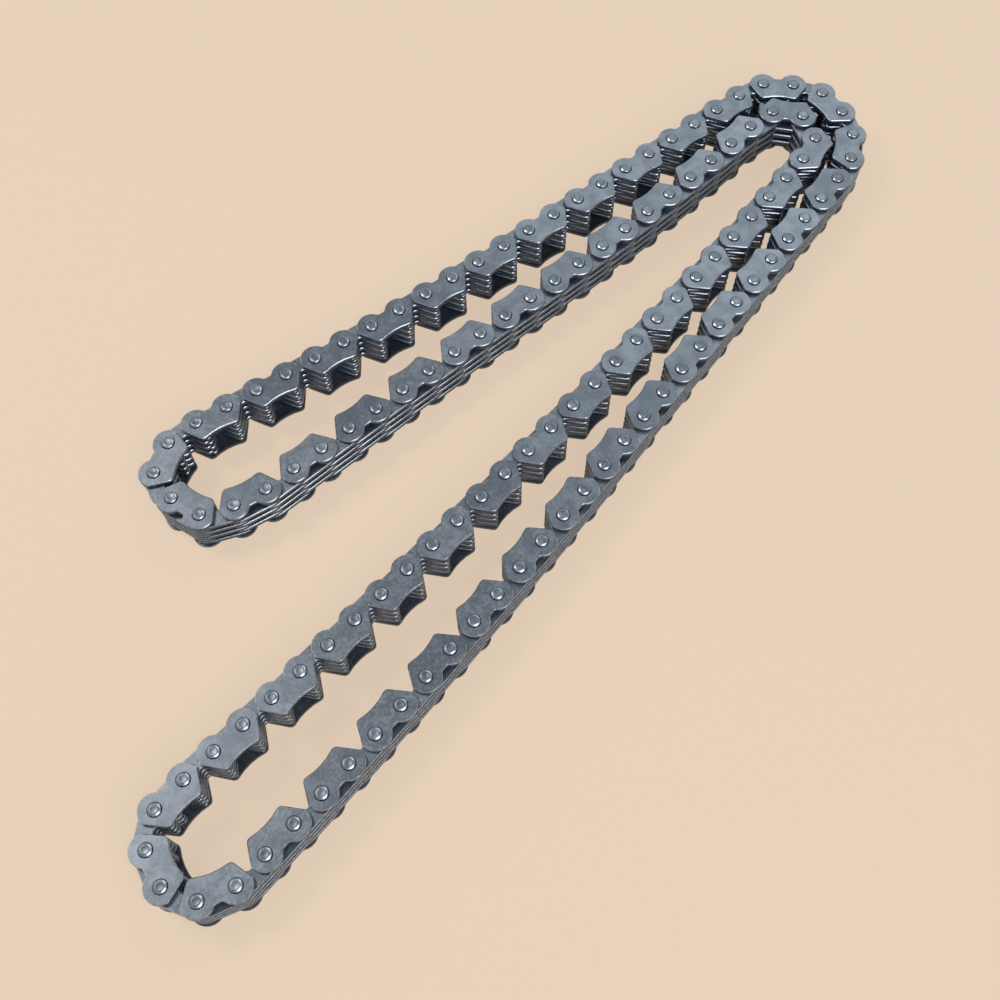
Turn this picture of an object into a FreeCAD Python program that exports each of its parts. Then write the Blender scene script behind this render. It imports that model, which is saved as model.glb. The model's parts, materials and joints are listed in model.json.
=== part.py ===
"""Silent timing chain: an endless loop of toothed plates, guide plates and riveted pins.

The chain lies folded on its side, so its pins stand upright along Z. Millimetres throughout.
"""
import FreeCAD, Part
import math
import os

os.makedirs("parts", exist_ok=True)

PITCH = 6.35

# Stack of plates, from the bottom guide plate to the top one
PLATE_THICK = 0.90
GUIDE_THICK = 0.90
PLATE_GAP = 0.05
JOINT_ROW_PLATES = 4

# Pins
PIN_DIAMETER = 2.30
PIN_PROUD = 0.50
PIN_EDGE = 0.28
RUNNING_CLEARANCE = 0.07

# Toothed plate, measured from the line through its two pins
BACK_HEIGHT = 2.65
TOE_DEPTH = 3.75
FLANK_ANGLE = 33.0
FLANK_DISTANCE = 2.50
CROTCH_HEIGHT = -0.30
CROTCH_RADIUS = 0.80
CROTCH_ANGLE = 36.0
SHOULDER_RADIUS = 0.80

# Guide plate, whose round ends leave a gap to the next guide plate
GUIDE_END_GAP = 0.59
LOBE_RADIUS = (PITCH - GUIDE_END_GAP) / 2
NOTCH_HEIGHT = 1.50
NOTCH_FILLET = 0.40
LOBE_CORNER = 0.50
GUIDE_TOE_RADIUS = 0.90
BELLY_HEIGHT = -3.35
BELLY_RISE = 0.40
BELLY_HALF_WIDTH = 2.90

# How the loop lies. An arm has so many links on its outer strand and some more on its inner one.
SHORT_ARM_LINKS = 18
LONG_ARM_LINKS = 25
INNER_EXTRA_LINKS = 2

# The bends in order round the loop. Every pin of a bend turns the chain by so many degrees,
# minus is a turn to the right, towards the teeth.
BENDS = {
    "short_arm_tip": [-10.5, -13.5, -48.5, -22.0, -54.0, -30.0, -10.0, 0.5, 0.5],
    "outer_corner": [-1.0, -6.5, -34.0, -17.5, -35.0, -20.5, -24.5, -21.5, -5.5],
    "long_arm_tip": [-0.5, -0.5, 0.0, -26.5, -42.5, -41.0, -34.5, -34.0, -4.5],
    "inner_corner": [9.0, 48.0, 61.0, 49.0, 7.0],
}

# The strand after each bend: its links, the runs it is divided into, and the turn at every pin
# of its first and of its second half
STRANDS = {
    "short_arm_outer": (SHORT_ARM_LINKS, 6, 0.50, 0.10),
    "long_arm_outer": (LONG_ARM_LINKS, 9, 0.05, -0.275),
    "long_arm_inner": (LONG_ARM_LINKS + INNER_EXTRA_LINKS, 9, 0.20, 0.25),
    "short_arm_inner": (SHORT_ARM_LINKS + INNER_EXTRA_LINKS, 8, -0.60, 0.10),
}


# The way round the loop

def sections():
    """Every bend and strand in order, as {name: (its first pin, how many links it has)}."""
    found = {}
    pin = 0
    for bend, strand in zip(BENDS, STRANDS):
        found[bend] = (pin, len(BENDS[bend]) - 1)
        pin += len(BENDS[bend]) - 1
        found[strand] = (pin, STRANDS[strand][0])
        pin += STRANDS[strand][0]
    return found


SECTIONS = sections()
PINS = sum(links for _, links in SECTIONS.values())

# The closing pins take up what is left of the turns, so that the loop always meets
CLOSING_PINS = (
    SECTIONS["short_arm_tip"][0] + 4,
    SECTIONS["long_arm_tip"][0] + 5,
    SECTIONS["inner_corner"][0] + 2,
)

# The pivot where the loop is opened, at the start of a guide link, which has an even number
OPEN_PIN = (SECTIONS["outer_corner"][0] + 4) // 2 * 2


def rest_turns():
    """The turn at every pin in degrees, before the loop is closed."""
    turns = [0.0] * PINS
    for name, (_, _, early, late) in STRANDS.items():
        first, links = SECTIONS[name]
        for step in range(1, links):
            turns[first + step] = early if step <= (links - 1) // 2 else late
    for name, values in BENDS.items():
        for step, turn in enumerate(values):
            turns[SECTIONS[name][0] + step] = turn
    return turns


def lay_pins(turns):
    """Centres of all pins and of the point where the last link ends, from pin 0 along X."""
    heading = 0.0
    points = [(0.0, 0.0)]
    for pin in range(PINS):
        if pin > 0:
            heading += math.radians(turns[pin])
        x, y = points[-1]
        points.append((x + PITCH * math.cos(heading), y + PITCH * math.sin(heading)))
    return points


def misfit(turns):
    """How far the loop is from meeting: two lengths and the angle left over."""
    points = lay_pins(turns)
    dx = points[-1][0] - points[0][0]
    dy = points[-1][1] - points[0][1]
    return [dx, dy, sum(turns) + 360.0]


def solve_three(rows, right):
    """Three linear equations, by Cramer's rule."""
    def determinant(m):
        return (m[0][0] * (m[1][1] * m[2][2] - m[1][2] * m[2][1])
                - m[0][1] * (m[1][0] * m[2][2] - m[1][2] * m[2][0])
                + m[0][2] * (m[1][0] * m[2][1] - m[1][1] * m[2][0]))

    whole = determinant(rows)
    answer = []
    for column in range(3):
        swapped = [list(row) for row in rows]
        for line in range(3):
            swapped[line][column] = right[line]
        answer.append(determinant(swapped) / whole)
    return answer


def close_loop(turns):
    """The same turns with the closing pins adjusted until the last link meets the first pin."""
    turns = list(turns)
    small = 0.0001
    for _ in range(20):
        error = misfit(turns)
        if max(abs(value) for value in error) < 1e-10:
            break
        rows = [[0.0] * 3 for _ in range(3)]
        for column, pin in enumerate(CLOSING_PINS):
            tried = list(turns)
            tried[pin] += small
            moved = misfit(tried)
            for line in range(3):
                rows[line][column] = (moved[line] - error[line]) / small
        for pin, change in zip(CLOSING_PINS, solve_three(rows, error)):
            turns[pin] -= change
    return turns


def long_axis(points):
    """Heading in degrees of the line between the two pins that lie farthest apart."""
    best = (0.0, 0.0)
    for i, (ax, ay) in enumerate(points):
        for bx, by in points[i + 1:]:
            span = math.hypot(bx - ax, by - ay)
            if span > best[0]:
                best = (span, math.degrees(math.atan2(by - ay, bx - ax)))
    return best[1]


def turned(points, angle):
    """Points turned about the origin by an angle in degrees."""
    c = math.cos(math.radians(angle))
    s = math.sin(math.radians(angle))
    return [(c * x - s * y, s * x + c * y) for x, y in points]


def hinge_pins():
    """The pins at which one body of the chain turns on the next, from the opened pin round."""
    pins = set()
    for name, values in BENDS.items():
        pins.update(SECTIONS[name][0] + step for step in range(len(values)))
    for name, (links, runs, _, _) in STRANDS.items():
        pins.update(SECTIONS[name][0] + round(links * step / runs) for step in range(1, runs))
    return sorted(pins, key=lambda pin: (pin - OPEN_PIN) % PINS)


def section_of(pin):
    """Name of the bend or strand that the link after this pin belongs to."""
    return next(name for name, (first, links) in SECTIONS.items() if first <= pin < first + links)


def chain_bodies():
    """Every rigid body of the chain as (name, its links), in order from the opened pin."""
    pins = hinge_pins()
    bodies = []
    seen = {}
    for here, following in zip(pins, pins[1:] + pins[:1]):
        links = [(here + step) % PINS for step in range((following - here) % PINS)]
        section = section_of(here)
        seen[section] = seen.get(section, 0) + 1
        kind = "link" if section in BENDS else "run"
        bodies.append(("%s_%s_%d" % (section, kind, seen[section]), links))
    return bodies


# Outlines of the plates

def polar(centre, radius, angle):
    """Point at a radius and an angle in radians about a centre."""
    return (centre[0] + radius * math.cos(angle), centre[1] + radius * math.sin(angle))


def arc_edge(centre, radius, start, end):
    """Arc from one angle to another in radians, the short way that the signs say."""
    a = FreeCAD.Vector(*polar(centre, radius, start), 0)
    m = FreeCAD.Vector(*polar(centre, radius, (start + end) / 2), 0)
    b = FreeCAD.Vector(*polar(centre, radius, end), 0)
    return Part.Arc(a, m, b).toShape()


def rounded_outline(corners):
    """Closed wire through corners given as (x, y, radius), each rounded by its radius."""
    arcs = []
    for i, (x, y, radius) in enumerate(corners):
        px, py, _ = corners[i - 1]
        nx, ny, _ = corners[(i + 1) % len(corners)]
        back = math.hypot(px - x, py - y)
        ahead = math.hypot(nx - x, ny - y)
        ux, uy = (px - x) / back, (py - y) / back
        vx, vy = (nx - x) / ahead, (ny - y) / ahead
        half = math.acos(ux * vx + uy * vy) / 2
        trim = radius / math.tan(half)
        bisector = math.hypot(ux + vx, uy + vy)
        reach = radius / math.sin(half)
        centre = (x + (ux + vx) / bisector * reach, y + (uy + vy) / bisector * reach)
        start = math.atan2(y + uy * trim - centre[1], x + ux * trim - centre[0])
        end = math.atan2(y + vy * trim - centre[1], x + vx * trim - centre[0])
        sweep = (end - start + math.pi) % (2 * math.pi) - math.pi
        arcs.append((centre, radius, start, start + sweep))
    edges = []
    for i, (centre, radius, start, end) in enumerate(arcs):
        edges.append(arc_edge(centre, radius, start, end))
        after = arcs[(i + 1) % len(arcs)]
        a = FreeCAD.Vector(*polar(centre, radius, end), 0)
        b = FreeCAD.Vector(*polar(after[0], after[1], after[2]), 0)
        if a.distanceToPoint(b) > 1e-6:
            edges.append(Part.makeLine(a, b))
    return Part.Wire(edges)


def flank_x(y, distance):
    """Where the outer flank of a tooth crosses a height, with the pin at half a pitch."""
    slope = math.radians(FLANK_ANGLE)
    return PITCH / 2 + (distance + math.sin(slope) * y) / math.cos(slope)


def toothed_wire():
    """Outline of a toothed plate: straight back, round ends, two toes with a crotch between."""
    slope = math.radians(FLANK_ANGLE)
    inner = math.radians(CROTCH_ANGLE)
    end_x = PITCH / 2 + BACK_HEIGHT
    end_y = (math.cos(slope) * BACK_HEIGHT - FLANK_DISTANCE) / math.sin(slope)
    # height of the sharp corner that the crotch's two flanks would make
    apex_y = CROTCH_HEIGHT - CROTCH_RADIUS + CROTCH_RADIUS / math.sin(inner)
    # sharp corner of the toe, where the outer flank meets the crotch's flank
    tooth = flank_x(0, FLANK_DISTANCE)
    toe_y = (tooth + apex_y * -math.tan(inner)) / (-math.tan(slope) - math.tan(inner))
    toe_x = flank_x(toe_y, FLANK_DISTANCE)
    # the toe's rounding brings its lowest point to the toe depth
    toe_half = (slope + inner) / 2
    lean = (slope - inner) / 2
    toe_radius = (-TOE_DEPTH - toe_y) / (math.cos(lean) / math.sin(toe_half) - 1)
    right = [
        (end_x, BACK_HEIGHT, BACK_HEIGHT),
        (end_x, end_y, SHOULDER_RADIUS),
        (toe_x, toe_y, toe_radius),
    ]
    left = [(-x, y, radius) for x, y, radius in reversed(right)]
    return rounded_outline(right + [(0.0, apex_y, CROTCH_RADIUS)] + left)


def guide_wire():
    """Outline of a guide plate: two lobes with a notch, two flanks and a hollow belly."""
    slope = math.radians(FLANK_ANGLE)
    pin = (PITCH / 2, 0.0)
    out = (math.cos(slope), -math.sin(slope))
    up = (math.sin(slope), math.cos(slope))
    # fillet between the notch's floor and the lobe
    rise = NOTCH_HEIGHT + NOTCH_FILLET
    reach = math.sqrt((LOBE_RADIUS + NOTCH_FILLET) ** 2 - rise ** 2)
    notch = (pin[0] - reach, rise)
    to_lobe = math.atan2(pin[1] - notch[1], pin[0] - notch[0])
    # small round where the lobe meets the flank
    inward = FLANK_DISTANCE - LOBE_CORNER
    along = math.sqrt((LOBE_RADIUS - LOBE_CORNER) ** 2 - inward ** 2)
    corner = (pin[0] + inward * out[0] + along * up[0], inward * out[1] + along * up[1])
    to_corner = math.atan2(corner[1] - pin[1], corner[0] - pin[0])
    # toe, which rolls from the flank onto the belly's arc
    belly_radius = (BELLY_HALF_WIDTH ** 2 + BELLY_RISE ** 2) / (2 * BELLY_RISE)
    belly = (0.0, BELLY_HEIGHT - belly_radius)
    inset = FLANK_DISTANCE - GUIDE_TOE_RADIUS
    qx = pin[0] + inset * out[0] - belly[0]
    qy = pin[1] + inset * out[1] - belly[1]
    level = qx * up[0] + qy * up[1]
    down = level - math.sqrt(level ** 2 - qx ** 2 - qy ** 2 + (belly_radius + GUIDE_TOE_RADIUS) ** 2)
    toe = (pin[0] + inset * out[0] - down * up[0], inset * out[1] - down * up[1])
    to_belly = math.atan2(belly[1] - toe[1], belly[0] - toe[0])
    flank_way = math.atan2(out[1], out[0])
    belly_way = to_belly + math.pi

    def half(mirror):
        """Edges of one half, right or mirrored to the left."""
        def arc(centre, radius, start, end):
            if mirror:
                centre = (-centre[0], centre[1])
                start, end = math.pi - start, math.pi - end
            return arc_edge(centre, radius, start, end)

        def line(a, b):
            flip = -1 if mirror else 1
            start = FreeCAD.Vector(flip * a[0], a[1], 0)
            return Part.makeLine(start, FreeCAD.Vector(flip * b[0], b[1], 0))

        return [
            arc(notch, NOTCH_FILLET, -math.pi / 2, to_lobe),
            arc(pin, LOBE_RADIUS, to_lobe + math.pi, to_corner),
            arc(corner, LOBE_CORNER, to_corner, flank_way),
            line(polar(corner, LOBE_CORNER, flank_way), polar(toe, GUIDE_TOE_RADIUS, flank_way)),
            arc(toe, GUIDE_TOE_RADIUS, flank_way, to_belly),
        ]

    floor_end = FreeCAD.Vector(notch[0], NOTCH_HEIGHT, 0)
    floor = Part.makeLine(FreeCAD.Vector(-notch[0], NOTCH_HEIGHT, 0), floor_end)
    hollow = arc_edge(belly, belly_radius, belly_way, math.pi - belly_way)
    edges = half(False) + half(True) + [floor, hollow]
    return Part.Wire(Part.__sortEdges__(edges))


# Solids of one link

def plate(wire, thickness, hole_radius):
    """Flat plate from its outline with the two pin holes, half a pitch each side of the origin."""
    body = Part.Face(wire).extrude(FreeCAD.Vector(0, 0, thickness))
    for side in (-1, 1):
        centre = FreeCAD.Vector(side * PITCH / 2, 0, -1)
        body = body.cut(Part.makeCylinder(hole_radius, thickness + 2, centre))
    return body


def layer_z(layer):
    """Underside of a layer of the stack. Layer 0 is the bottom guide plate."""
    if layer == 0:
        return PIN_PROUD
    return PIN_PROUD + GUIDE_THICK + PLATE_GAP + (layer - 1) * (PLATE_THICK + PLATE_GAP)


def pin_solid(bottom, top, round_bottom, round_top):
    """Round pin between two heights, with the struck edge of its riveted ends."""
    radius = PIN_DIAMETER / 2
    body = Part.makeCylinder(radius, top - bottom, FreeCAD.Vector(0, 0, bottom))
    rims = []
    for edge in body.Edges:
        if len(edge.Vertexes) == 1:
            z = edge.CenterOfMass.z
            if (round_top and z > top - 1e-6) or (round_bottom and z < bottom + 1e-6):
                rims.append(edge)
    return body.makeFillet(PIN_EDGE, rims)


TOP_LAYER = 2 * JOINT_ROW_PLATES
STACK_TOP = layer_z(TOP_LAYER) + GUIDE_THICK
PIN_TOP = STACK_TOP + PIN_PROUD

TOOTHED = plate(toothed_wire(), PLATE_THICK, PIN_DIAMETER / 2 + RUNNING_CLEARANCE)
GUIDE = plate(guide_wire(), GUIDE_THICK, PIN_DIAMETER / 2)
PIN = pin_solid(0.0, PIN_TOP, True, True)
# the opened pivot keeps only the ends of its pin, one in each guide plate
LOWER_STUB = pin_solid(0.0, layer_z(0) + GUIDE_THICK, True, False)
UPPER_STUB = pin_solid(layer_z(TOP_LAYER), PIN_TOP, False, True)


def placed(shape, point, heading, z):
    """A copy of a shape set at a point, turned to a heading in degrees."""
    copy = shape.copy()
    turn = FreeCAD.Rotation(FreeCAD.Vector(0, 0, 1), heading)
    copy.Placement = FreeCAD.Placement(FreeCAD.Vector(point[0], point[1], z), turn)
    return copy


def joint_row(middle, heading):
    """The toothed plates that join two guide links, in the odd layers."""
    return [placed(TOOTHED, middle, heading, layer_z(layer)) for layer in range(1, TOP_LAYER, 2)]


def guide_link(start, middle, end, heading, opened):
    """Two guide plates, the toothed plates between them and the two riveted pins."""
    solids = [placed(GUIDE, middle, heading, layer_z(layer)) for layer in (0, TOP_LAYER)]
    solids += [placed(TOOTHED, middle, heading, layer_z(layer)) for layer in range(2, TOP_LAYER, 2)]
    if opened:
        solids += [placed(LOWER_STUB, start, heading, 0), placed(UPPER_STUB, start, heading, 0)]
    else:
        solids.append(placed(PIN, start, heading, 0))
    solids.append(placed(PIN, end, heading, 0))
    return solids


# The whole chain

TURNS = close_loop(rest_turns())
_laid = lay_pins(TURNS)
POINTS = turned(_laid, -long_axis(_laid[:-1]))


def link_solids(link, points):
    """Solids of one link of the loop, even links being guide links."""
    start, end = points[link], points[link + 1]
    middle = ((start[0] + end[0]) / 2, (start[1] + end[1]) / 2)
    heading = math.degrees(math.atan2(end[1] - start[1], end[0] - start[0]))
    if link % 2 == 0:
        return guide_link(start, middle, end, heading, link == OPEN_PIN)
    return joint_row(middle, heading)


def build():
    """All bodies of the chain as {name: solids}, centred over the origin."""
    bodies = {}
    for name, links in chain_bodies():
        bodies[name] = [solid for link in links for solid in link_solids(link, POINTS)]
    whole = Part.makeCompound([solid for solids in bodies.values() for solid in solids]).BoundBox
    shift = FreeCAD.Vector(-(whole.XMin + whole.XMax) / 2, -(whole.YMin + whole.YMax) / 2, 0)
    for solids in bodies.values():
        for solid in solids:
            solid.translate(shift)
    return bodies, shift


BODIES, SHIFT = build()
for _name, _solids in BODIES.items():
    Part.makeCompound(_solids).exportStep(os.path.join("parts", _name + ".step"))
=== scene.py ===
"""Looks of a silent timing chain that lies on its side, folded into a V.

The chain is an endless loop of stamped steel plates on riveted pins. Plates and pins are modelled
once in millimetres, and every link of the loop gets its own copies, in metres, in the CAD frame.
"""
import json
import logging
import math
import random
from dataclasses import dataclass, field
from enum import Enum
from typing import Any, Callable, Iterable, Sequence, Union

import bpy
from mathutils import Matrix, Vector

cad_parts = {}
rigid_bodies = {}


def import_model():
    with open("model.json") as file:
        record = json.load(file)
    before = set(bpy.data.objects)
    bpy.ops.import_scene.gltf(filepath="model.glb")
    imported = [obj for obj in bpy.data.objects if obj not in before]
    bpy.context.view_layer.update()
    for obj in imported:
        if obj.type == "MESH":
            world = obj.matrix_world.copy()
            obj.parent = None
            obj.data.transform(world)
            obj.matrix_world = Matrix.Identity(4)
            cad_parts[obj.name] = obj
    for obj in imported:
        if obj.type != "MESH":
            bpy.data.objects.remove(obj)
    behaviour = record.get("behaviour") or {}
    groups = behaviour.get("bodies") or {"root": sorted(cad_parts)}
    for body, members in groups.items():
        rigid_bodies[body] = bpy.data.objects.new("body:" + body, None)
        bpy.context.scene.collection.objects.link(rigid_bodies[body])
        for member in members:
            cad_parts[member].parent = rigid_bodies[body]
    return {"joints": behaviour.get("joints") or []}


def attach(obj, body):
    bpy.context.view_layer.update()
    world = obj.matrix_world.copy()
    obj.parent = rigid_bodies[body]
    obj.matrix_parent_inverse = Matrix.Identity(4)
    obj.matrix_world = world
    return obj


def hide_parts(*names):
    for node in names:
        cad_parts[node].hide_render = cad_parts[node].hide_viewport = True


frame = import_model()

LOG = logging.getLogger("timing_chain")
MM = 0.001
Number = Union[int, float]
Point = tuple[float, float]
Colour = tuple[float, float, float]


class Finish(Enum):
    """The three surfaces that the chain shows, by the slot they take on a body's mesh."""

    GUIDE = 0
    TOOTHED = 1
    PIN = 2


# The lay of the loop


@dataclass(frozen=True)
class Strand:
    """The stretch after a bend, divided into runs of links, with the turn at its inner pins."""

    links: int
    runs: int
    early: float
    late: float

    def turn(self, step: int) -> float:
        """The turn at a pin, by its number from the strand's start."""
        return self.early if step <= (self.links - 1) // 2 else self.late


@dataclass(frozen=True)
class ChainNode:
    """One node of the chain: its name, the body it moves with and the links that it holds."""

    name: str
    body: str
    links: tuple[int, ...]


@dataclass
class LoopRoute:
    """Where every pin of the loop lies, with the teeth on the inside of the loop.

    Lengths are millimetres and turns are degrees. Minus is a turn to the right, towards the teeth.
    The bends and strands take turns round the loop.
    """

    pitch: float = 6.35
    bends: dict[str, tuple[float, ...]] = field(default_factory=lambda: {
        "short_arm_tip": (-10.5, -13.5, -48.5, -22.0, -54.0, -30.0, -10.0, 0.5, 0.5),
        "outer_corner": (-1.0, -6.5, -34.0, -17.5, -35.0, -20.5, -24.5, -21.5, -5.5),
        "long_arm_tip": (-0.5, -0.5, 0.0, -26.5, -42.5, -41.0, -34.5, -34.0, -4.5),
        "inner_corner": (9.0, 48.0, 61.0, 49.0, 7.0),
    })
    strands: dict[str, Strand] = field(default_factory=lambda: {
        "short_arm_outer": Strand(18, 6, 0.50, 0.10),
        "long_arm_outer": Strand(25, 9, 0.05, -0.275),
        "long_arm_inner": Strand(27, 9, 0.20, 0.25),
        "short_arm_inner": Strand(20, 8, -0.60, 0.10),
    })

    def __post_init__(self) -> None:
        """Counts the pins and finds where each bend and strand starts."""
        self.first: dict[str, int] = {}
        self.pins = 0
        for (bend, turns), (strand, stretch) in zip(self.bends.items(), self.strands.items()):
            self.first[bend] = self.pins
            self.first[strand] = self.pins + len(turns) - 1
            self.pins = self.first[strand] + stretch.links
        self.closing_pins = (self.first["short_arm_tip"] + 4, self.first["long_arm_tip"] + 5,
                             self.first["inner_corner"] + 2)
        self.open_pin = (self.first["outer_corner"] + 4) // 2 * 2

    def open_turns(self) -> list[float]:
        """The turn at every pin before the loop is closed."""
        turns = [0.0] * self.pins
        for name, strand in self.strands.items():
            for step in range(1, strand.links):
                turns[self.first[name] + step] = strand.turn(step)
        for name, values in self.bends.items():
            turns[self.first[name]:self.first[name] + len(values)] = values
        return turns

    def lay(self, turns: Sequence[float]) -> list[Point]:
        """Lays the chain from pin 0 along X.

        Args:
            turns: the turn at every pin.

        Returns:
            The centres of all pins, and last the point where the last link ends.
        """
        heading = 0.0
        points: list[Point] = [(0.0, 0.0)]
        for pin in range(self.pins):
            heading += math.radians(turns[pin]) if pin else 0.0
            x, y = points[-1]
            points.append((x + self.pitch * math.cos(heading), y + self.pitch * math.sin(heading)))
        return points

    def misfit(self, turns: Sequence[float]) -> Vector:
        """How far the loop is from meeting: two lengths and the angle left over."""
        points = self.lay(turns)
        return Vector((points[-1][0] - points[0][0], points[-1][1] - points[0][1], sum(turns) + 360.0))

    def closed_turns(self) -> list[float]:
        """The turns after the closing pins have taken up what keeps the loop from meeting."""
        turns = self.open_turns()
        small = 0.001
        for _ in range(20):
            error = self.misfit(turns)
            if error.length < 1e-5:
                break
            columns = []
            for pin in self.closing_pins:
                tried = list(turns)
                tried[pin] += small
                columns.append((self.misfit(tried) - error) / small)
            change = Matrix(columns).transposed().inverted() @ error
            for pin, amount in zip(self.closing_pins, change):
                turns[pin] -= amount
        return turns

    def points(self, joints: Iterable[dict[str, Any]], nodes: Sequence[ChainNode]) -> list[Point]:
        """Lays the closed loop where the CAD part has it.

        Args:
            joints: the frame's joints, whose places say where hinge pins lie.
            nodes: the chain's nodes in order.

        Returns:
            The centres of all pins in the frame, in millimetres, with the first pin again last.
        """
        laid = [Vector(p) for p in self.lay(self.closed_turns())]
        pin_of = {frozenset((a.body, b.body)): b.links[0]
                  for a, b in zip(nodes, nodes[1:]) if a.body != b.body}
        pairs = []
        for joint in joints:
            pin = pin_of.get(frozenset((joint["parent"], joint["child"])))
            if pin is not None:
                pairs.append((laid[pin], Vector(joint["pos_m"][:2]) / MM))
        here = sum((a for a, _ in pairs), Vector((0, 0))) / len(pairs)
        there = sum((b for _, b in pairs), Vector((0, 0))) / len(pairs)
        across = sum((a - here).cross(b - there) for a, b in pairs)
        along = sum((a - here).dot(b - there) for a, b in pairs)
        spin = Matrix.Rotation(math.atan2(across, along), 2)
        return [tuple(spin @ (p - here) + there) for p in laid]

    def node_pins(self) -> list[int]:
        """The pins at which one node ends and the next begins, from the opened pin round."""
        pins = set()
        for name, values in self.bends.items():
            pins.update(self.first[name] + step for step in range(len(values)))
        for name, strand in self.strands.items():
            pins.update(self.first[name] + round(strand.links * step / strand.runs)
                        for step in range(1, strand.runs))
        return sorted(pins, key=lambda pin: (pin - self.open_pin) % self.pins)

    def nodes(self) -> list[ChainNode]:
        """Every node of the chain, in order from the opened pin."""
        pins = self.node_pins()
        found: list[ChainNode] = []
        seen: dict[str, int] = {}
        for here, following in zip(pins, pins[1:] + pins[:1]):
            section = max((name for name in self.first if self.first[name] <= here),
                          key=lambda name: self.first[name])
            seen[section] = seen.get(section, 0) + 1
            name = f"{section}_{'link' if section in self.bends else 'run'}_{seen[section]}"
            body = name if "corner" in section else section[:section.index("_arm") + 4]
            links = tuple((here + step) % self.pins for step in range((following - here) % self.pins))
            found.append(ChainNode(name, body, links))
        return found


# Modelling by operators


def to_object_mode() -> None:
    """Leaves edit mode and deselects everything, the CAD nodes too."""
    if bpy.context.mode != "OBJECT":
        bpy.ops.object.mode_set(mode="OBJECT")
    bpy.ops.object.select_all(action="DESELECT")


def select_only(obj: bpy.types.Object) -> None:
    """Makes an object the active and only selected one."""
    to_object_mode()
    obj.select_set(True)
    bpy.context.view_layer.objects.active = obj


def edit(obj: bpy.types.Object, mode: str = "VERT") -> None:
    """Enters edit mode on an object with nothing selected.

    Args:
        obj: the object to edit.
        mode: VERT, EDGE or FACE.
    """
    select_only(obj)
    bpy.ops.object.mode_set(mode="EDIT")
    bpy.ops.mesh.select_mode(type=mode)
    bpy.ops.mesh.select_all(action="DESELECT")


def select_faces(obj: bpy.types.Object, test: Callable[[bpy.types.MeshPolygon], bool]) -> None:
    """Enters edit mode with the faces selected that pass a test."""
    edit(obj, "FACE")
    bpy.ops.object.mode_set(mode="OBJECT")
    for face in obj.data.polygons:
        face.select = test(face)
    bpy.ops.object.mode_set(mode="EDIT")


def apply_modifier(obj: bpy.types.Object, kind: str, **settings: Any) -> None:
    """Adds a modifier, sets it and applies it."""
    select_only(obj)
    modifier = obj.modifiers.new(kind.title(), kind)
    for name, value in settings.items():
        setattr(modifier, name, value)
    bpy.ops.object.modifier_apply(modifier=modifier.name)


class OutlinePen:
    """Draws the right half of a stamped outline in edit mode, from one point on."""

    def __init__(self, name: str, start: Point) -> None:
        """Starts a drawing.

        Args:
            name: name of the object that is drawn.
            start: first point, on the plate's middle line.
        """
        to_object_mode()
        bpy.ops.mesh.primitive_plane_add(size=1.0)
        self.obj = bpy.context.object
        self.obj.name = name
        self.at = Vector((start[0], start[1], 0.0))
        edit(self.obj)
        bpy.ops.mesh.select_all(action="SELECT")
        bpy.ops.mesh.merge(type="CENTER")
        bpy.ops.transform.translate(value=self.at)

    def line(self, x: float, y: float) -> None:
        """Draws a straight edge to a point."""
        step = Vector((x, y, 0.0)) - self.at
        if step.length > 1e-4:
            bpy.ops.mesh.extrude_region_move(TRANSFORM_OT_translate={"value": step})
            self.at += step

    def arc(self, centre: Point, sweep: float, steps: int) -> None:
        """Draws an arc about a centre.

        Args:
            centre: centre of the arc.
            sweep: angle in radians, plus is anticlockwise.
            steps: number of edges.
        """
        middle = Vector((centre[0], centre[1], 0.0))
        bpy.ops.mesh.spin(steps=steps, angle=-sweep, center=middle, axis=(0, 0, 1))
        self.at = middle + Matrix.Rotation(sweep, 3, "Z") @ (self.at - middle)

    def stamped(self, thickness: float) -> bpy.types.Object:
        """Mirrors the half outline, fills it and gives it its thickness.

        Args:
            thickness: of the sheet.

        Returns:
            The plate's blank, lying on the XY plane.
        """
        apply_modifier(self.obj, "MIRROR", use_clip=True, merge_threshold=0.01)
        edit(self.obj)
        bpy.ops.mesh.select_all(action="SELECT")
        bpy.ops.mesh.remove_doubles(threshold=0.005)
        bpy.ops.mesh.edge_face_add()
        bpy.ops.mesh.extrude_region_move(TRANSFORM_OT_translate={"value": (0, 0, thickness)})
        bpy.ops.mesh.select_all(action="SELECT")
        bpy.ops.mesh.normals_make_consistent(inside=False)
        to_object_mode()
        return self.obj


@dataclass(frozen=True)
class RoundedCorner:
    """A corner of an outline that is rounded by a radius, in so many steps."""

    x: float
    y: float
    radius: float
    steps: int


def draw_corners(pen: OutlinePen, corners: Sequence[RoundedCorner], end: Point) -> None:
    """Draws rounded corners one after the other with straight edges between them.

    Args:
        pen: the pen, standing on the line that leads to the first corner.
        corners: the corners in drawing order.
        end: the point that the last corner's line leads to.
    """
    before = Vector((pen.at.x, pen.at.y))
    for number, corner in enumerate(corners):
        here = Vector((corner.x, corner.y))
        after = Vector(end)
        if number + 1 < len(corners):
            after = Vector((corners[number + 1].x, corners[number + 1].y))
        back = (before - here).normalized()
        ahead = (after - here).normalized()
        half = math.acos(max(-1.0, min(1.0, back.dot(ahead)))) / 2
        start = here + back * (corner.radius / math.tan(half))
        centre = here + (back + ahead).normalized() * (corner.radius / math.sin(half))
        sweep = math.copysign(math.pi - 2 * half, ahead.cross(back))
        pen.line(start.x, start.y)
        pen.arc((centre.x, centre.y), sweep, corner.steps)
        before = here


# Plates and pins


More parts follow.
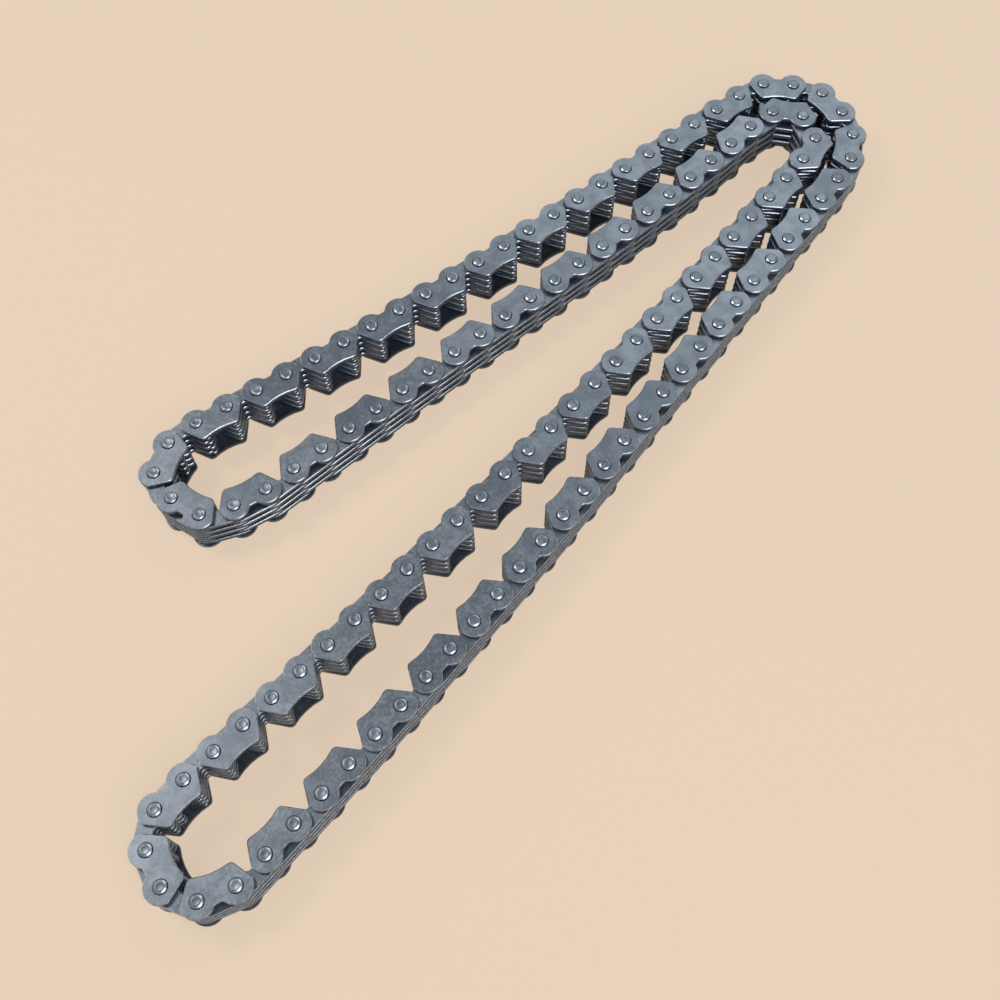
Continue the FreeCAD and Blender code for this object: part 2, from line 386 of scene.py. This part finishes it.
@dataclass(frozen=True)
class Stack:
    """The nine layers of plates, in millimetres, from the bottom guide plate to the top one."""

    plate: float = 0.90
    guide: float = 0.90
    gap: float = 0.05
    joint_plates: int = 4
    pin_proud: float = 0.50

    @property
    def top_layer(self) -> int:
        """Number of the top guide plate's layer."""
        return 2 * self.joint_plates

    def underside(self, layer: int) -> float:
        """Height of a layer's underside."""
        if layer == 0:
            return self.pin_proud
        return self.pin_proud + self.guide + self.gap + (layer - 1) * (self.plate + self.gap)

    @property
    def pin_top(self) -> float:
        """Height of the upper pin ends."""
        return self.underside(self.top_layer) + self.guide + self.pin_proud


@dataclass(frozen=True)
class StampedPlate:
    """What all plates of the chain share. Millimetres, with the two pins on the X axis."""

    pitch: float = 6.35
    thickness: float = 0.90
    flank_angle: float = 33.0
    flank_distance: float = 2.50
    hole_radius: float = 1.22
    hole_steps: int = 8
    rim: float = 0.14
    countersunk: bool = False

    def punched(self, blank: bpy.types.Object) -> bpy.types.Object:
        """Punches the two pin holes and rolls the upper rim, as the stamping die does.

        Args:
            blank: the plate before its holes.

        Returns:
            The finished plate, smooth along its edge and crisp at its rims.
        """
        for side in (-1, 1):
            to_object_mode()
            place = (side * self.pitch / 2, 0, self.thickness / 2)
            bpy.ops.mesh.primitive_cylinder_add(
                vertices=self.hole_steps, radius=self.hole_radius, depth=3, location=place)
            punch = bpy.context.object
            apply_modifier(blank, "BOOLEAN", operation="DIFFERENCE", object=punch, solver="EXACT")
            bpy.data.objects.remove(punch)
        self.select_upper_rim(blank)
        bpy.ops.mesh.bevel(offset=self.rim, offset_type="OFFSET", segments=1, affect="EDGES")
        select_only(blank)
        bpy.ops.object.shade_smooth_by_angle(angle=math.radians(31))
        return blank

    def select_upper_rim(self, plate: bpy.types.Object) -> None:
        """Selects the edges between the upper face and the sheared edge, in edit mode."""
        edit(plate, "EDGE")
        to_object_mode()
        mesh = plate.data
        upper = {key for face in mesh.polygons if face.normal.z > 0.9 for key in face.edge_keys}
        sheared = {key for face in mesh.polygons if abs(face.normal.z) < 0.1 for key in face.edge_keys}
        for line in mesh.edges:
            a, b = (mesh.vertices[i].co for i in line.vertices)
            middle = (a + b) / 2
            in_hole = math.hypot(abs(middle.x) - self.pitch / 2, middle.y) < self.hole_radius + 0.01
            line.select = line.key in upper & sheared and (self.countersunk or not in_hole)
        select_only(plate)
        bpy.ops.object.mode_set(mode="EDIT")


@dataclass(frozen=True)
class ToothedPlate(StampedPlate):
    """The inner plate: straight back, round ends and two toes with a crotch between them.

    Its holes have few sides, whose middles still leave the round pin free.
    """

    hole_radius: float = 1.25
    back_height: float = 2.65
    toe_depth: float = 3.75
    crotch_height: float = -0.30
    crotch_radius: float = 0.80
    crotch_angle: float = 36.0
    shoulder_radius: float = 0.80
    name: str = "toothed_plate"

    def build(self) -> bpy.types.Object:
        """Models the plate."""
        slope = math.radians(self.flank_angle)
        inner = math.radians(self.crotch_angle)
        end_x = self.pitch / 2 + self.back_height
        end_y = (math.cos(slope) * self.back_height - self.flank_distance) / math.sin(slope)
        apex_y = self.crotch_height - self.crotch_radius + self.crotch_radius / math.sin(inner)
        tooth = self.pitch / 2 + self.flank_distance / math.cos(slope)
        toe_y = (tooth - apex_y * math.tan(inner)) / (-math.tan(slope) - math.tan(inner))
        toe_x = tooth + math.tan(slope) * toe_y
        toe_half = (slope + inner) / 2
        lean = (slope - inner) / 2
        toe_radius = (-self.toe_depth - toe_y) / (math.cos(lean) / math.sin(toe_half) - 1)
        pen = OutlinePen(self.name, (0.0, self.back_height))
        corners = [
            RoundedCorner(end_x, self.back_height, self.back_height, 4),
            RoundedCorner(end_x, end_y, self.shoulder_radius, 2),
            RoundedCorner(toe_x, toe_y, toe_radius, 3),
        ]
        draw_corners(pen, corners, (0.0, apex_y))
        # the crotch's arc is drawn to its deepest point, on the middle line
        touch = self.crotch_radius * math.cos(inner)
        centre_y = self.crotch_height - self.crotch_radius
        pen.line(touch, centre_y + self.crotch_radius * math.sin(inner))
        pen.arc((0.0, centre_y), math.pi / 2 - inner, 2)
        return self.punched(pen.stamped(self.thickness))


@dataclass(frozen=True)
class GuidePlate(StampedPlate):
    """The outer plate: two lobes with a notch between them, two flanks and a hollow belly."""

    hole_radius: float = 1.17
    hole_steps: int = 12
    countersunk: bool = True
    end_gap: float = 0.59
    notch_height: float = 1.50
    notch_fillet: float = 0.40
    lobe_corner: float = 0.50
    toe_radius: float = 0.90
    belly_height: float = -3.35
    belly_rise: float = 0.40
    belly_half_width: float = 2.90
    name: str = "guide_plate"

    def build(self) -> bpy.types.Object:
        """Models the plate."""
        slope = math.radians(self.flank_angle)
        lobe_radius = (self.pitch - self.end_gap) / 2
        pin = Vector((self.pitch / 2, 0.0))
        out = Vector((math.cos(slope), -math.sin(slope)))
        up = Vector((math.sin(slope), math.cos(slope)))
        rise = self.notch_height + self.notch_fillet
        reach = math.sqrt((lobe_radius + self.notch_fillet) ** 2 - rise ** 2)
        notch = Vector((pin.x - reach, rise))
        inward = self.flank_distance - self.lobe_corner
        along = math.sqrt((lobe_radius - self.lobe_corner) ** 2 - inward ** 2)
        corner = pin + inward * out + along * up
        belly_radius = (self.belly_half_width ** 2 + self.belly_rise ** 2) / (2 * self.belly_rise)
        belly = Vector((0.0, self.belly_height - belly_radius))
        inset = pin + (self.flank_distance - self.toe_radius) * out
        level = (inset - belly).dot(up)
        span = belly_radius + self.toe_radius
        down = level - math.sqrt(level ** 2 - (inset - belly).length_squared + span ** 2)
        toe = inset - down * up

        def angle(a: Vector, b: Vector) -> float:
            """Heading from one point to another."""
            return math.atan2(b.y - a.y, b.x - a.x)

        def short(turn: float) -> float:
            """A turn brought between minus and plus half a circle."""
            return (turn + math.pi) % (2 * math.pi) - math.pi

        flank_way = math.atan2(out.y, out.x)
        pen = OutlinePen(self.name, (0.0, self.notch_height))
        pen.line(notch.x, self.notch_height)
        pen.arc(tuple(notch), short(angle(notch, pin) + math.pi / 2), 2)
        lobe_start = angle(pin, notch)
        pen.arc(tuple(pin), -((lobe_start - angle(pin, corner)) % (2 * math.pi)), 9)
        pen.arc(tuple(corner), short(flank_way - angle(pin, corner)), 2)
        foot = toe + self.toe_radius * out
        pen.line(foot.x, foot.y)
        pen.arc(tuple(toe), short(angle(toe, belly) - flank_way), 3)
        pen.arc(tuple(belly), math.pi / 2 - angle(belly, toe), 2)
        return self.punched(pen.stamped(self.thickness))


@dataclass(frozen=True)
class RivetedPin:
    """A pin, or one end of the pin that is cut at the opened pivot. Millimetres."""

    bottom: float
    top: float
    head_below: bool = True
    head_above: bool = True
    radius: float = 1.15
    edge: float = 0.30
    edge_slope: float = 0.8
    ring: float = 0.20
    dish_edge: float = 0.18
    dish_depth: float = 0.04
    steps: int = 12
    name: str = "pin"

    def build(self) -> bpy.types.Object:
        """Models the pin with the struck, slightly sunk faces of its riveted ends."""
        to_object_mode()
        height = self.top - self.bottom
        bpy.ops.mesh.primitive_cylinder_add(
            vertices=self.steps, radius=self.radius, depth=height,
            location=(0, 0, self.bottom + height / 2))
        pin = bpy.context.object
        pin.name = self.name
        bpy.ops.object.transform_apply(location=True)
        for wanted, way in ((self.head_above, 1), (self.head_below, -1)):
            if not wanted:
                continue
            select_faces(pin, lambda face: face.normal.z * way > 0.9)
            bpy.ops.mesh.inset(thickness=self.edge, depth=0)
            edit(pin, "VERT")
            bpy.ops.object.mode_set(mode="OBJECT")
            level = self.top if way > 0 else self.bottom
            for vertex in pin.data.vertices:
                outer = math.hypot(vertex.co.x, vertex.co.y) > self.radius - 0.01
                vertex.select = outer and abs(vertex.co.z - level) < 1e-4
            bpy.ops.object.mode_set(mode="EDIT")
            bpy.ops.transform.translate(value=(0, 0, -way * self.edge * self.edge_slope))
            select_faces(pin, lambda face: face.normal.z * way > 0.9)
            bpy.ops.mesh.inset(thickness=self.ring, depth=0)
            bpy.ops.mesh.inset(thickness=self.dish_edge, depth=-self.dish_depth)
        select_only(pin)
        bpy.ops.object.shade_smooth_by_angle(angle=math.radians(40))
        return pin


# Materials


class Wire:
    """A shader socket that takes part in Python expressions, each adding its Math node."""

    def __init__(self, graph: "Graph", socket: bpy.types.NodeSocket) -> None:
        """Wraps a node's output socket."""
        self.graph = graph
        self.socket = socket

    def _math(self, operation: str, *values: Union["Wire", Number]) -> "Wire":
        """Adds one Math node on values and sockets."""
        return self.graph.node("ShaderNodeMath", {"operation": operation}, dict(enumerate(values)))

    def __add__(self, other: Union["Wire", Number]) -> "Wire":
        """self + other."""
        return self._math("ADD", self, other)

    def __radd__(self, other: Number) -> "Wire":
        """other + self."""
        return self._math("ADD", other, self)

    def __sub__(self, other: Union["Wire", Number]) -> "Wire":
        """self - other."""
        return self._math("SUBTRACT", self, other)

    def __rsub__(self, other: Number) -> "Wire":
        """other - self."""
        return self._math("SUBTRACT", other, self)

    def __mul__(self, other: Union["Wire", Number]) -> "Wire":
        """self * other."""
        return self._math("MULTIPLY", self, other)

    def __rmul__(self, other: Number) -> "Wire":
        """other * self."""
        return self._math("MULTIPLY", other, self)

    def between(self, low: float, high: float) -> "Wire":
        """0 below low, 1 above high, smooth between them."""
        return self.graph.node("ShaderNodeMapRange", {"interpolation_type": "SMOOTHSTEP"},
                               {"Value": self, "From Min": low, "From Max": high})


class Graph:
    """The node tree of one material, with its Principled shader."""

    def __init__(self, name: str) -> None:
        """Makes the material."""
        self.material = bpy.data.materials.new(name)
        self.material.use_nodes = True
        self.tree = self.material.node_tree
        self.shader = self.tree.nodes["Principled BSDF"]

    def node(self, kind: str, settings: dict[str, Any], inputs: dict[Any, Any],
             output: Union[int, str] = 0) -> Wire:
        """Adds a node.

        Args:
            kind: the node's type.
            settings: its properties, set before its sockets.
            inputs: a value or a Wire for each socket, by name or number.
            output: the output socket that is wanted.

        Returns:
            The output, wrapped.
        """
        node = self.tree.nodes.new(kind)
        for name, value in settings.items():
            setattr(node, name, value)
        for name, value in inputs.items():
            self.feed(node.inputs[name], value)
        return Wire(self, node.outputs[output])

    def feed(self, socket: bpy.types.NodeSocket, value: Any) -> None:
        """Links a Wire to a socket, or sets the socket's own value."""
        if isinstance(value, Wire):
            self.tree.links.new(value.socket, socket)
        else:
            socket.default_value = value

    def attribute(self, name: str, output: str = "Fac") -> Wire:
        """Reads one of the mesh's own attributes."""
        return self.node("ShaderNodeAttribute", {"attribute_name": name}, {}, output)

    def noise(self, place: Wire, scale: float, detail: float = 2.0) -> Wire:
        """A noise from 0 to 1 over a place."""
        return self.node("ShaderNodeTexNoise", {"noise_dimensions": "3D"},
                         {"Vector": place, "Scale": scale, "Detail": detail})

    def stretched(self, place: Wire, scale: Colour) -> Wire:
        """A place scaled by its own amount along each axis."""
        return self.node("ShaderNodeMapping", {"vector_type": "POINT"},
                         {"Vector": place, "Scale": scale})

    def mix(self, share: Union[Wire, Number], a: Any, b: Any) -> Wire:
        """A colour between two colours."""
        node = self.tree.nodes.new("ShaderNodeMix")
        node.data_type = "RGBA"
        self.feed(node.inputs[0], share)
        for socket, value in ((node.inputs[6], a), (node.inputs[7], b)):
            self.feed(socket, value if isinstance(value, Wire) else (*value, 1.0))
        return Wire(self, node.outputs[2])

    def backdrop(self, colour: Colour, share: float) -> None:
        """Shows a share of a plain colour to the eye and in reflections, without lighting anything.

        Args:
            colour: the colour that is shown, linear.
            share: how much of it, the rest being the surface with its shadows.
        """
        path = self.tree.nodes.new("ShaderNodeLightPath")
        seen = Wire(self, path.outputs["Is Camera Ray"]) + Wire(self, path.outputs["Is Glossy Ray"])
        seen = (seen + Wire(self, path.outputs["Is Transmission Ray"])) * share
        plain = self.node("ShaderNodeEmission", {}, {"Color": (*colour, 1.0), "Strength": 1.0})
        lit = Wire(self, self.shader.outputs[0])
        both = self.node("ShaderNodeMixShader", {}, {0: seen, 1: lit, 2: plain})
        self.feed(self.tree.nodes["Material Output"].inputs["Surface"], both)


@dataclass(frozen=True)
class SteelFinish:
    """Bare steel as it leaves the stamping and tumbling barrel, with its oil wiped off, and with painted
    shade in the gaps between its plates.

    Colours are linear. Places on a plate are millimetres, read from the mesh's own attributes.
    """

    name: str
    light: Colour
    dark: Colour
    rim: Colour
    sheared: Colour
    # shade: a near-black painted shade, laid on the lower part of every sheared edge where the plates
    # meet
    shade: Colour
    roughness: float
    scratches: float
    mottling: float
    metallic: float = 0.92

    def build(self) -> bpy.types.Material:
        """Makes the material: colour, roughness and bump all vary over each plate."""
        graph = Graph(self.name)
        place = graph.attribute("plate_place", "Vector")
        tone = graph.attribute("plate_tone")
        rim = graph.attribute("plate_rim")
        edge = graph.attribute("plate_edge")
        cloud = graph.noise(place, 0.35, 3.0).between(0.32, 0.68)
        mottle = graph.noise(place, 1.6, 4.0).between(0.35, 0.70)
        grain = graph.noise(place, 9.0, 3.0)
        along = graph.noise(graph.stretched(place, (0.5, 14.0, 1.0)), 1.0, 2.0).between(0.55, 0.78)
        across = graph.noise(graph.stretched(place, (9.0, 0.9, 1.0)), 1.0, 2.0).between(0.60, 0.80)
        scratch = along * 0.6 + across * 0.4
        shear = graph.noise(graph.stretched(place, (6.0, 6.0, 0.5)), 1.0, 2.0)
        share = (cloud * 0.35 + mottle * self.mottling + grain * 0.14 + tone * 0.40
                 - scratch * self.scratches - 0.15)
        body = graph.mix(share.between(0.0, 1.1), self.dark, self.light)
        cut = graph.mix(shear.between(0.30, 0.75), self.shade, self.sheared)
        # painted shade: every sheared edge darkens towards the underside of its plate, standing in for
        # the shadow in the gaps between the stacked plates
        cut = graph.mix(graph.attribute("plate_painted_shade").between(0.30, 0.95), cut, self.shade)
        faced = graph.mix(edge, body, cut)
        colour = graph.mix(rim * (0.65 + mottle * 0.35), faced, self.rim)
        roughness = (self.roughness + (mottle - 0.5) * 0.09 + (grain - 0.5) * 0.10
                     + scratch * 0.08 - rim * 0.10)
        height = grain * 0.5 + mottle * 0.25 - scratch * 0.35 + shear * edge * 0.8
        bump = graph.node("ShaderNodeBump", {}, {"Strength": 0.15, "Distance": 0.00003, "Height": height})
        graph.feed(graph.shader.inputs["Base Color"], colour)
        graph.feed(graph.shader.inputs["Roughness"], roughness)
        graph.feed(graph.shader.inputs["Metallic"], self.metallic - edge * 0.80)
        graph.feed(graph.shader.inputs["Normal"], bump)
        return graph.material


# Each finish: light, dark, rim, sheared, shade (painted shade), roughness, scratches, mottling.
FINISHES: dict[Finish, SteelFinish] = {
    Finish.GUIDE: SteelFinish("guide_plate_steel", (0.40, 0.445, 0.495), (0.20, 0.23, 0.265),
                              (0.74, 0.79, 0.84), (0.12, 0.195, 0.30), (0.018, 0.035, 0.065),
                              0.40, 0.25, 0.28),
    Finish.TOOTHED: SteelFinish("toothed_plate_steel", (0.24, 0.285, 0.34), (0.08, 0.10, 0.135),
                                (0.19, 0.265, 0.37), (0.085, 0.15, 0.24), (0.012, 0.025, 0.052),
                                0.44, 0.30, 0.30),
    Finish.PIN: SteelFinish("pin_steel", (0.32, 0.355, 0.39), (0.15, 0.175, 0.205),
                            (0.46, 0.50, 0.55), (0.09, 0.13, 0.18), (0.025, 0.038, 0.06),
                            0.38, 0.20, 0.40),
}


# Links and chain


@dataclass
class PartBin:
    """The modelled plates and pins, each once, ready to be copied into links."""

    stack: Stack = field(default_factory=Stack)
    shapes: dict[str, bpy.types.Object] = field(default_factory=dict)
    finish: dict[str, Finish] = field(default_factory=dict)

    def fill(self) -> None:
        """Models every kind of plate and pin."""
        guide_top = self.stack.underside(0) + self.stack.guide
        upper = self.stack.underside(self.stack.top_layer)
        top = self.stack.pin_top
        kinds = (
            ("guide", Finish.GUIDE, GuidePlate(thickness=self.stack.guide)),
            ("toothed", Finish.TOOTHED, ToothedPlate(thickness=self.stack.plate)),
            ("pin", Finish.PIN, RivetedPin(0.0, top)),
            ("lower_stub", Finish.PIN, RivetedPin(0.0, guide_top, head_above=False)),
            ("upper_stub", Finish.PIN, RivetedPin(upper, top, head_below=False)),
        )
        for key, finish, maker in kinds:
            shape = maker.build()
            self.shapes[key] = shape
            self.finish[key] = finish
            self.mark(shape)
            LOG.info("modelled %s with %d faces", key, len(shape.data.polygons))

    @staticmethod
    def mark(shape: bpy.types.Object) -> None:
        """Notes on every face whether it is a rim or the sheared edge, and on points if they are low,
        where the materials paint shade between the plates.
        """
        mesh = shape.data
        hole_zone = 1.4
        slants = [abs(face.normal.z) for face in mesh.polygons]
        sunk = [math.hypot(abs(face.center.x) - StampedPlate.pitch / 2, face.center.y) < hole_zone
                and slant < 0.95 for face, slant in zip(mesh.polygons, slants)]
        rims = [float(0.3 < slant < 0.95 and not hole) for slant, hole in zip(slants, sunk)]
        edges = [float(slant <= 0.3 or hole) for slant, hole in zip(slants, sunk)]
        # low points carry the painted shade on the sheared edges
        low = [float(vertex.co.z < 0.01) for vertex in mesh.vertices]
        for name, domain, values in (("plate_rim", "FACE", rims), ("plate_edge", "FACE", edges),
                                     ("plate_painted_shade", "POINT", low)):
            mesh.attributes.new(name, "FLOAT", domain)
            mesh.attributes[name].data.foreach_set("value", values)

    def copy(self, key: str, spot: Matrix, chance: random.Random) -> bpy.types.Object:
        """Copies a plate or pin into its place in the chain.

        Args:
            key: which shape.
            spot: its place in the frame, in millimetres.
            chance: gives each copy its own tone and its own part of the surface patterns.

        Returns:
            The copy, with its place in its mesh, in metres.
        """
        mesh = self.shapes[key].data.copy()
        offset = Vector([chance.uniform(-400, 400) for _ in range(3)])
        places = [x for vertex in mesh.vertices for x in vertex.co + offset]
        mesh.attributes.new("plate_place", "FLOAT_VECTOR", "POINT")
        mesh.attributes["plate_place"].data.foreach_set("vector", places)
        mesh.attributes.new("plate_tone", "FLOAT", "POINT")
        tones = [chance.random()] * len(mesh.vertices)
        mesh.attributes["plate_tone"].data.foreach_set("value", tones)
        mesh.transform(Matrix.Scale(MM, 4) @ spot)
        for face in mesh.polygons:
            face.material_index = self.finish[key].value
        obj = bpy.data.objects.new(key, mesh)
        bpy.context.scene.collection.objects.link(obj)
        return obj

    def empty(self) -> None:
        """Removes the patterns after the last copy."""
        for shape in self.shapes.values():
            bpy.data.objects.remove(shape)


@dataclass
class TimingChain:
    """The whole chain: its route, its parts and its bodies."""

    route: LoopRoute = field(default_factory=LoopRoute)
    parts: PartBin = field(default_factory=PartBin)
    seed: int = 7

    def link_copies(self, link: int, points: Sequence[Point],
                    chance: random.Random) -> list[bpy.types.Object]:
        """Makes the plates and pins of one link.

        Args:
            link: its number, even for a guide link and odd for a joint row.
            points: the pins' centres.
            chance: the source of small differences between pieces.

        Returns:
            The copies.
        """
        start, end = Vector((*points[link], 0.0)), Vector((*points[link + 1], 0.0))
        way = end - start
        turn = Matrix.Rotation(math.atan2(way.y, way.x), 4, "Z")
        middle = (start + end) / 2
        stack = self.parts.stack
        made = []

        def put(key: str, where: Vector, height: float, flip: Matrix = Matrix.Identity(4)) -> None:
            """Adds one copy at a height, turned over if flip says so."""
            spot = Matrix.Translation(Vector((where.x, where.y, height))) @ turn @ flip
            made.append(self.parts.copy(key, spot, chance))

        if link % 2:
            for layer in range(1, stack.top_layer, 2):
                put("toothed", middle, stack.underside(layer))
            return made
        put("guide", middle, stack.underside(0) + stack.guide, Matrix.Rotation(math.pi, 4, "Y"))
        put("guide", middle, stack.underside(stack.top_layer))
        for layer in range(2, stack.top_layer, 2):
            put("toothed", middle, stack.underside(layer))
        for key in ("lower_stub", "upper_stub") if link == self.route.open_pin else ("pin",):
            put(key, start, 0.0)
        put("pin", end, 0.0)
        return made

    def build(self) -> None:
        """Builds every node as one mesh and lets it ride on its CAD body."""
        self.parts.fill()
        nodes = self.route.nodes()
        points = self.route.points(frame["joints"], nodes)
        materials = {finish: look.build() for finish, look in FINISHES.items()}
        chance = random.Random(self.seed)
        for node in nodes:
            copies = [c for link in node.links for c in self.link_copies(link, points, chance)]
            to_object_mode()
            for copy in copies:
                copy.select_set(True)
            bpy.context.view_layer.objects.active = copies[0]
            bpy.ops.object.join()
            piece = bpy.context.object
            piece.name = f"{node.name}_steel"
            piece.data.name = piece.name
            piece.data.materials.clear()
            for finish in Finish:
                piece.data.materials.append(materials[finish])
            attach(piece, node.body)
            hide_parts(node.name)
            LOG.info("built %s from %d pieces", node.name, len(copies))
        self.parts.empty()


# Stage


@dataclass(frozen=True)
class SoftLamp:
    """An area lamp aimed at a point. Metres."""

    name: str
    place: Colour
    target: Colour
    size: float
    watts: float
    colour: Colour = (1.0, 1.0, 1.0)

    def build(self) -> None:
        """Hangs the lamp."""
        lamp = bpy.data.lights.new(self.name, "AREA")
        lamp.shape = "DISK"
        lamp.size = self.size
        lamp.energy = self.watts
        lamp.color = self.colour
        obj = bpy.data.objects.new(self.name, lamp)
        bpy.context.scene.collection.objects.link(obj)
        aim = Vector(self.target) - Vector(self.place)
        obj.location = self.place
        obj.rotation_euler = aim.to_track_quat("-Z", "Y").to_euler()


@dataclass
class Studio:
    """Floor, light and camera."""

    floor_colour: Colour = (0.855, 0.665, 0.500)
    backdrop_colour: Colour = (0.90, 0.72, 0.555)
    backdrop_share: float = 0.70
    room_colour: Colour = (0.80, 0.86, 0.95)
    room_strength: float = 0.27
    lens: float = 43.65
    eye: Colour = (0.0896, 0.0793, 0.2060)
    right: Colour = (-0.6001, 0.7999, -0.0084)
    down: Colour = (0.7255, 0.5398, -0.4269)
    forward: Colour = (-0.3369, -0.2623, -0.9043)

    def build(self) -> None:
        """Sets up the floor, the world, the lamps and the camera."""
        self.floor()
        self.world()
        for lamp in (
            SoftLamp("overhead", (0.10, -0.26, 0.42), (0.06, 0.0, 0.0), 0.15, 0.58, (1.0, 0.97, 0.94)),
            SoftLamp("far", (-0.42, -0.10, 0.42), (-0.05, 0.0, 0.0), 0.45, 0.52, (0.92, 0.98, 1.0)),
            SoftLamp("front", (0.13, 0.40, 0.42), (0.0, 0.0, 0.0), 0.46, 1.1),
        ):
            lamp.build()
        self.camera()

    def floor(self) -> None:
        """Lays the pale floor under the pin ends."""
        to_object_mode()
        bpy.ops.mesh.primitive_plane_add(size=4.0, location=(0, 0, -0.0002))
        plane = bpy.context.object
        plane.name = "floor"
        graph = Graph("pale_floor")
        graph.feed(graph.shader.inputs["Base Color"], (*self.floor_colour, 1.0))
        graph.feed(graph.shader.inputs["Roughness"], 0.9)
        graph.backdrop(self.backdrop_colour, self.backdrop_share)
        plane.data.materials.append(graph.material)

    def world(self) -> None:
        """Gives the room a plain pale light."""
        world = bpy.data.worlds.new("room")
        bpy.context.scene.world = world
        world.use_nodes = True
        back = world.node_tree.nodes["Background"]
        back.inputs["Color"].default_value = (*self.room_colour, 1.0)
        back.inputs["Strength"].default_value = self.room_strength

    def camera(self) -> None:
        """Puts the camera where the photograph was taken from."""
        data = bpy.data.cameras.new("camera")
        data.sensor_width = 36.0
        data.sensor_fit = "HORIZONTAL"
        data.lens = self.lens
        data.clip_start = 0.005
        camera = bpy.data.objects.new("camera", data)
        bpy.context.scene.collection.objects.link(camera)
        axes = Matrix((self.right, -Vector(self.down), -Vector(self.forward))).transposed()
        camera.matrix_world = Matrix.Translation(self.eye) @ axes.to_4x4()
        bpy.context.scene.camera = camera


def main() -> None:
    logging.basicConfig(level=logging.INFO, format="%(message)s")
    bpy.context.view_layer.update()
    TimingChain().build()
    Studio().build()
    bpy.context.scene.view_settings.view_transform = "Standard"


if __name__ == "__main__":
    main()
